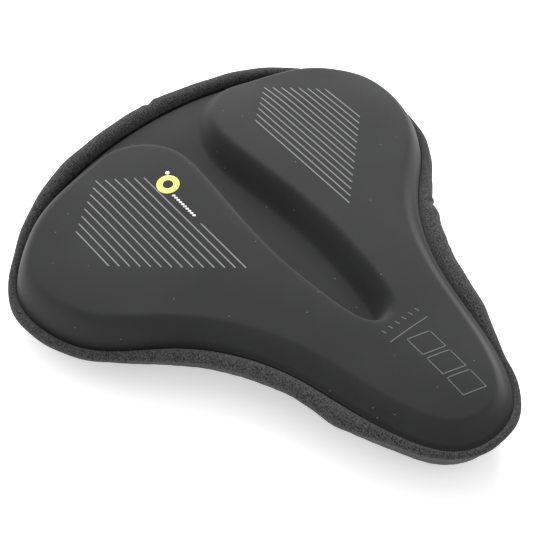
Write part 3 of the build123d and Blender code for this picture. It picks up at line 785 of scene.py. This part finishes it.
def buildHem():
    tape = {
        "thick": 0.00065, "clear": 0.0002, "overlap": 0.003, "gap": 0.0003, "fold": 0.0014, "turn": 0.0004,
    }
    elastic = {"width": 0.0052, "thick": 0.0014, "rim": 0.0003}
    p, outward, _, sizes, _ = bandStations(480)
    cavity = skirt["thick"] / 2 + tape["clear"]
    outside = cavity + tape["thick"]
    inner = tape["gap"] * 2 + elastic["width"]
    end = inner + tape["thick"]
    back, fold, turn = -tape["overlap"], end - tape["fold"], end - tape["turn"]
    corners = [(back, outside), (0.0, outside), (fold, outside), (turn, outside * 0.7), (end, 0.0),
               (turn, -outside * 0.7), (fold, -outside), (0.0, -outside), (back, -outside),
               (back, -cavity), (inner, -cavity), (inner, cavity), (back, cavity)]
    rings = toWorld(p, outward, hemSection(corners[::-1], sizes))
    binding = closedBand("hemBinding", rings, hemWeave, ("hem_binding",))
    half = elastic["thick"] / 2
    low, high = tape["gap"], tape["gap"] + elastic["width"]
    rim = elastic["rim"]
    corners = [(low, half - rim), (low + rim, half), (high - rim, half), (high, half - rim),
               (high, rim - half), (high - rim, -half), (low + rim, -half), (low, rim - half)]
    rings = toWorld(p, outward, hemSection(corners[::-1], sizes))
    braid = closedBand("hemElastic", rings, elasticWeave, ("hem_elastic",))
    return binding, braid


skirtBand = buildSkirt()
hemBinding, hemElastic = buildHem()
print("skirt and hem built")


def ribbon(centre, width, lift, closed=False):
    # rows of a thin film that lies on the skin: left and right edges, top then underside
    ahead = np.roll(centre, -1, 0) if closed else np.vstack([centre[1:], centre[-1:]])
    behind = np.roll(centre, 1, 0) if closed else np.vstack([centre[:1], centre[:-1]])
    run = (ahead - behind) / np.linalg.norm(ahead - behind, axis=1)[:, None]
    across = np.column_stack([-run[:, 1], run[:, 0]])
    rows = []
    for side in (-1.0, -0.5, 0.0, 0.5, 1.0):
        edge = centre + across * side * width / 2
        rows.append(np.column_stack([edge, topAt(edge[:, 0], edge[:, 1]) + lift]))
    rows += [row - np.array([0.0, 0.0, films["thick"]]) for row in rows[::-1]]
    return np.stack(rows, axis=1)


def buildFilm(name, pieces, material, node=None):
    # pieces: (points along the middle, width, closed)
    verts, faces = [], []
    for centre, width, closed in pieces:
        rows = ribbon(np.array(centre), width, films["lift"], closed)
        start = sum(len(v) for v in verts)
        count, columns = rows.shape[:2]
        faces += [tuple(start + v for v in f) for f in gridFaces(count, columns, closed, True)]
        if not closed:
            faces.append(tuple(start + v for v in range(columns)))
            faces.append(tuple(start + (count - 1) * columns + v for v in reversed(range(columns))))
        verts.append(rows.reshape(-1, 3))
    obj = newObject(name, np.vstack(verts), faces, material, "cover")
    uv = [obj.data.vertices[loop.vertex_index].co.xy for loop in obj.data.loops]
    setUv(obj, np.array(uv))
    if node:
        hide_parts(node)
    return obj


def between(start, end, step=0.0012):
    count = max(2, int(math.dist(start, end) / step) + 1)
    return np.column_stack([np.linspace(a, b, count) for a, b in zip(start, end)])


def circlePath(x, y, radius, count=64):
    angles = np.linspace(0.0, 2 * np.pi, count, endpoint=False)
    return np.column_stack([x + radius * np.cos(angles), y + radius * np.sin(angles)])


films = {"lift": 0.0001, "thick": 0.00007, "line": 0.00066}

stripes = {
    "count": 14, "pitch": 0.00393, "outerY": 0.086, "rearX": seam["middle"] - 0.086, "lean": 0.00314,
    "return": 0.0035, "corner": 7, "frontX": seam["middle"] - 0.056, "frontLean": 0.00365,
    "pastMarkX": seam["middle"] - 0.046, "cut": 1,
}

mark = {
    "x": seam["middle"] - 0.078, "y": -0.032, "radius": 0.0062, "hole": 0.0028,
    "dotX": seam["middle"] - 0.0846, "dotY": -0.0275, "dot": 0.0012,
    "barX": seam["middle"] - 0.0705, "barY": -0.0343, "dashes": 10, "dashPitch": 0.00195, "dash": 0.0013,
    "dashLean": 0.0006, "dashWidth": 0.0011,
}

nosePrint = {
    "x": seam["middle"] + 0.070, "barY": 0.003, "barLength": 0.025, "ticks": 6, "tickPitch": 0.0044,
    "tick": 0.0026, "tickBehind": 0.0063, "frames": 3, "framePitch": 0.0136, "frameAhead": 0.0109,
    "frameY": 0.004, "frameLength": 0.011, "frameWidth": 0.0125, "frameLean": 0.003, "line": 0.0006,
    "tickLean": 0.0005,
}


def stripeRuns(side):
    runs = []
    for number in range(stripes["count"]):
        y = stripes["outerY"] - number * stripes["pitch"]
        pastCorner = max(number - stripes["corner"], 0)
        rear = stripes["rearX"] - min(number, stripes["corner"]) * stripes["lean"]
        rear += pastCorner * stripes["return"]
        if side < 0 and number >= stripes["count"] - stripes["cut"]:
            rear = stripes["pastMarkX"]
        front = stripes["frontX"] + number * stripes["frontLean"]
        runs.append((between((rear, side * y), (front, side * y)), films["line"], False))
    return runs


def buildMark():
    middle = (mark["radius"] + mark["hole"]) / 2
    ring = (circlePath(mark["x"], mark["y"], middle), mark["radius"] - mark["hole"], True)
    buildFilm("rearMarkRing", [ring], limeFilm, "rear_emblem_print")
    pieces = [(circlePath(mark["dotX"], mark["dotY"], mark["dot"] / 2, 24), mark["dot"], True)]
    for number in range(mark["dashes"]):
        x = mark["barX"] + number * mark["dashPitch"]
        start = (x, mark["barY"] - mark["dashLean"])
        end = (x + mark["dash"], mark["barY"] + mark["dashLean"])
        pieces.append((between(start, end), mark["dashWidth"], False))
    buildFilm("rearMarkDashes", pieces, whiteFilm, "rear_bar_print")


def frameOutline(x, y):
    # a leaning four-sided outline, with each side split fine enough to follow the skin
    lean = nosePrint["frameLean"] / 2
    halfLength, halfWidth = nosePrint["frameLength"] / 2, nosePrint["frameWidth"] / 2
    corners = [(-halfLength - lean, -halfWidth), (halfLength - lean, -halfWidth),
               (halfLength + lean, halfWidth), (-halfLength + lean, halfWidth)]
    corners = [(x + cx, y + cy) for cx, cy in corners]
    return [between(a, b) for a, b in zip(corners, corners[1:] + corners[:1])]


def buildNosePrint():
    x, y = nosePrint["x"], nosePrint["barY"]
    half = nosePrint["barLength"] / 2
    pieces = [(between((x, y - half), (x, y + half)), nosePrint["line"], False)]
    for number in range(nosePrint["ticks"]):
        place = y + (number - (nosePrint["ticks"] - 1) / 2) * nosePrint["tickPitch"]
        back = x - nosePrint["tickBehind"]
        start = (back - nosePrint["tick"] / 2, place - nosePrint["tickLean"])
        end = (back + nosePrint["tick"] / 2, place + nosePrint["tickLean"])
        pieces.append((between(start, end, 0.0006), nosePrint["line"], False))
    for number in range(nosePrint["frames"]):
        place = x + nosePrint["frameAhead"] + number * nosePrint["framePitch"]
        for side in frameOutline(place, nosePrint["frameY"]):
            pieces.append((side, nosePrint["line"], False))
    buildFilm("nosePrint", pieces, dimFilm, "nose_print")


buildFilm("leftStripes", stripeRuns(1.0), greyFilm, "left_stripe_print")
buildFilm("rightStripes", stripeRuns(-1.0), greyFilm, "right_stripe_print")
buildMark()
buildNosePrint()
print("prints built")


def finishNode(name, material, bevel=0.0):
    # a CAD piece whose shape is right keeps it and takes a finish, with its edges eased
    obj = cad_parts[name]
    for place in obj.material_slots:
        place.material = material
    if bevel:
        modifier = obj.modifiers.new("easedEdges", "BEVEL")
        modifier.width = bevel
        modifier.segments = 2
        modifier.limit_method = "ANGLE"
        modifier.angle_limit = math.radians(40)
        modifier.harden_normals = False


for side in ("rear", "front"):
    finishNode(side + "_strap", webbingLaid, 0.00022)
    finishNode(side + "_ring_tab", webbingLaid, 0.0002)
    finishNode(side + "_strap_tail", webbingLaid, 0.00022)
    finishNode(side + "_ring", ringPlastic, 0.0004)
    finishNode(side + "_hook_patch", hookTape, 0.0001)
    finishNode(side + "_loop_patch", loopTape, 0.0001)
finishNode("grip_dots", siliconeGum, 0.0002)
finishNode("care_label", labelWeave, 0.00006)
finishNode("back_seam_stitches", threadLaid, 0.00015)
finishNode("top_seam_thread", threadLaid, 0.00012)
finishNode("strap_bar_tacks", threadLaid, 0.00012)
print("straps, dots, label and stitches finished")


def buildStage():
    floor = bpy.data.meshes.new("floor")
    floor.from_pydata([(-6, -6, 0), (6, -6, 0), (6, 6, 0), (-6, 6, 0)], [], [(0, 1, 2, 3)])
    ground = bpy.data.objects.new("floor", floor)
    ground.location.z = -0.0002
    bpy.context.scene.collection.objects.link(ground)
    pale = bpy.data.materials.new("paleFloor")
    pale.use_nodes = True
    pale.node_tree.nodes["Principled BSDF"].inputs["Base Color"].default_value = (0.93, 0.93, 0.93, 1)
    pale.node_tree.nodes["Principled BSDF"].inputs["Roughness"].default_value = 0.9
    pale.node_tree.nodes["Principled BSDF"].inputs["Emission Color"].default_value = (1.0, 1.0, 1.0, 1)
    pale.node_tree.nodes["Principled BSDF"].inputs["Emission Strength"].default_value = 0.4
    floor.materials.append(pale)


def addLight(name, place, target, size, power):
    data = bpy.data.lights.new(name, "AREA")
    data.shape = "SQUARE"
    data.size = size
    data.energy = power
    light = bpy.data.objects.new(name, data)
    light.location = place
    light.rotation_euler = (Vector(target) - Vector(place)).to_track_quat("-Z", "Y").to_euler()
    bpy.context.scene.collection.objects.link(light)


def buildCamera():
    view = {
        "azimuth": 50.47, "elevation": 50.33, "away": 0.606, "lens": 79.2,
        "target": (-0.0084, -0.0194, 0.0329),
    }
    a, e = math.radians(view["azimuth"]), math.radians(view["elevation"])
    back = Vector((math.sin(a) * math.cos(e), -math.cos(a) * math.cos(e), math.sin(e)))
    data = bpy.data.cameras.new("camera")
    data.lens = view["lens"]
    data.sensor_width = 36.0
    data.clip_start = 0.01
    camera = bpy.data.objects.new("camera", data)
    camera.location = Vector(view["target"]) + back * view["away"]
    camera.rotation_euler = (-back).to_track_quat("-Z", "Y").to_euler()
    bpy.context.scene.collection.objects.link(camera)
    bpy.context.scene.camera = camera


def buildLight():
    world = bpy.data.worlds.new("studio")
    world.use_nodes = True
    world.node_tree.nodes["Background"].inputs["Color"].default_value = (1.0, 1.0, 1.0, 1)
    world.node_tree.nodes["Background"].inputs["Strength"].default_value = 0.82
    bpy.context.scene.world = world
    addLight("keyLight", (-1.1, 0.8, 1.3), (0, 0, 0), 1.5, 46.0)
    addLight("fillLight", (-1.2, -0.6, 1.0), (0, 0, 0), 1.2, 6.0)


buildStage()
buildCamera()
buildLight()
bpy.context.scene.view_settings.view_transform = "Standard"
print("stage built")
